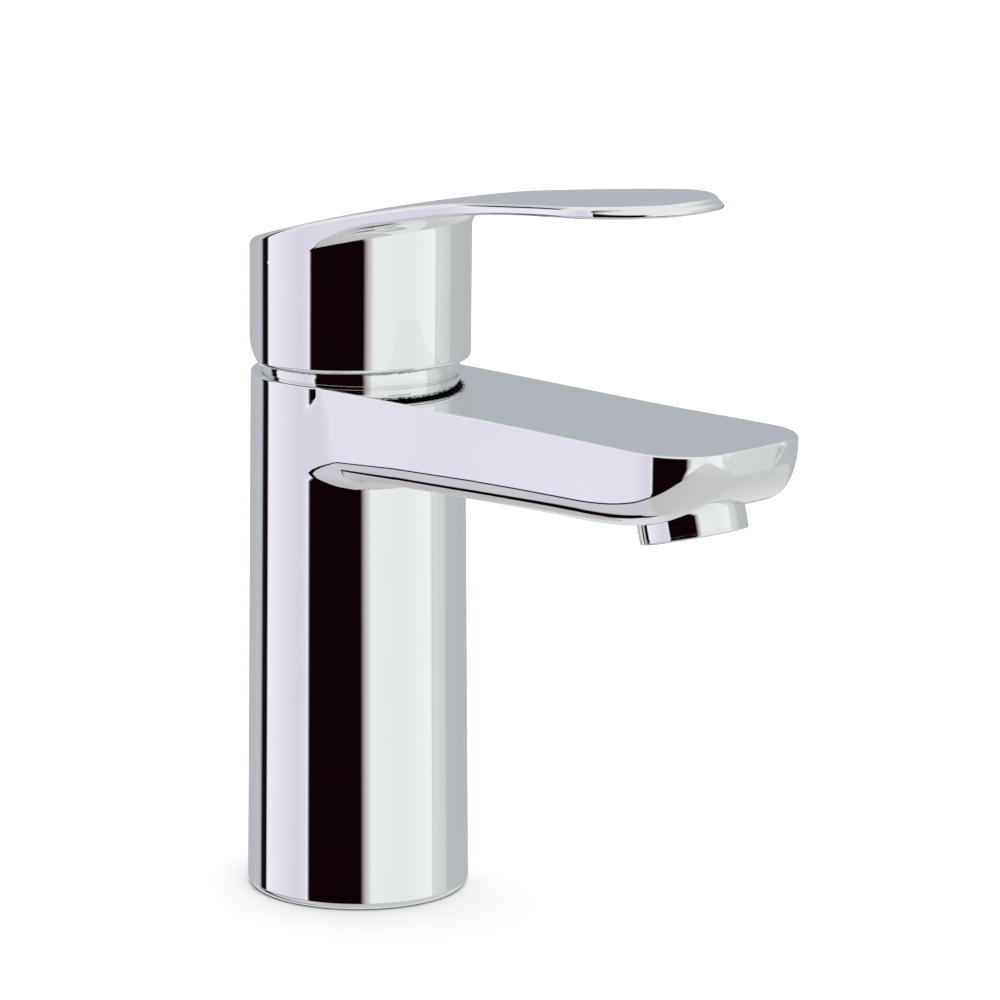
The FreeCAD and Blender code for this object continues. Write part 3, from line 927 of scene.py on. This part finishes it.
# Elevations in degrees over which one gives way to the next, and the ceiling's colour.
TABLE_TO_EDGE = (-26.0, -24.6)
EDGE_TO_PANELS = (-21.6, -20.8)
PANELS_TO_CEILING = (24.0, 44.0)
CEILING = (0.86, 0.87, 0.88)


def panel_ramp(tree, around, stops):
    ramp = tree.nodes.new("ShaderNodeValToRGB")
    elements = ramp.color_ramp.elements
    for index, (angle, color) in enumerate(stops):
        place = (angle + 180) / 360
        element = elements[index] if index < 2 else elements.new(place)
        element.position = place
        element.color = (*srgb(*color), 1)
    tree.links.new(around, ramp.inputs["Fac"])
    return ramp.outputs["Color"]


def by_height(tree, height, low, high, below, above):
    """Colour that goes from one input to the other between two elevations in degrees."""
    share = tree.nodes.new("ShaderNodeMapRange")
    share.inputs["From Min"].default_value = math.sin(math.radians(low))
    share.inputs["From Max"].default_value = math.sin(math.radians(high))
    tree.links.new(height, share.inputs["Value"])
    mix = tree.nodes.new("ShaderNodeMix")
    mix.data_type = "RGBA"
    tree.links.new(share.outputs["Result"], mix.inputs["Factor"])
    tree.links.new(below, mix.inputs["A"])
    if isinstance(above, tuple):
        mix.inputs["B"].default_value = (*above, 1)
    else:
        tree.links.new(above, mix.inputs["B"])
    return mix.outputs["Result"]


def studio():
    """Table, panels and ceiling that light the object, and the plain white that the camera sees."""
    world = bpy.data.worlds.new("studio")
    bpy.context.scene.world = world
    world.use_nodes = True
    tree = world.node_tree
    tree.nodes.clear()
    coords = tree.nodes.new("ShaderNodeTexCoord")
    split = tree.nodes.new("ShaderNodeSeparateXYZ")
    turn = tree.nodes.new("ShaderNodeVectorRotate")
    turn.rotation_type = "Z_AXIS"
    turn.inputs["Angle"].default_value = math.pi / 2 - VIEW_TURN
    tree.links.new(coords.outputs["Generated"], turn.inputs["Vector"])
    tree.links.new(turn.outputs["Vector"], split.inputs["Vector"])
    around = world_math(tree, "ARCTAN2", split.outputs["Y"], split.outputs["X"])
    around = world_math(tree, "MULTIPLY_ADD", around, 1 / (2 * math.pi), 0.5)
    height = split.outputs["Z"]
    color = by_height(tree, height, *TABLE_TO_EDGE, panel_ramp(tree, around, TABLE),
                      panel_ramp(tree, around, TABLE_EDGE))
    color = by_height(tree, height, *EDGE_TO_PANELS, color, panel_ramp(tree, around, AROUND))
    color = by_height(tree, height, *PANELS_TO_CEILING, color, CEILING)
    backdrop = tree.nodes.new("ShaderNodeBackground")
    backdrop.inputs["Color"].default_value = (1, 1, 1, 1)
    panels = tree.nodes.new("ShaderNodeBackground")
    tree.links.new(color, panels.inputs["Color"])
    path = tree.nodes.new("ShaderNodeLightPath")
    choose = tree.nodes.new("ShaderNodeMixShader")
    tree.links.new(path.outputs["Is Camera Ray"], choose.inputs["Fac"])
    tree.links.new(panels.outputs["Background"], choose.inputs[1])
    tree.links.new(backdrop.outputs["Background"], choose.inputs[2])
    output = tree.nodes.new("ShaderNodeOutputWorld")
    tree.links.new(choose.outputs["Shader"], output.inputs["Surface"])


def soft_light(name, place, size, power):
    """Round overhead panel that lights matt things only, so that it doesn't show in the chrome."""
    data = bpy.data.lights.new(name, "AREA")
    data.shape = "DISK"
    data.size = size
    data.energy = power
    obj = bpy.data.objects.new(name, data)
    bpy.context.scene.collection.objects.link(obj)
    obj.location = place
    aim = Vector((0, 0, 0.05)) - Vector(place)
    obj.rotation_euler = aim.to_track_quat("-Z", "Y").to_euler()
    obj.visible_glossy = False


camera()
floor()
studio()
soft_light("overhead", (0.2, -0.3, 2.4), 3.0, 62.0)
bpy.context.scene.view_settings.view_transform = "Standard"
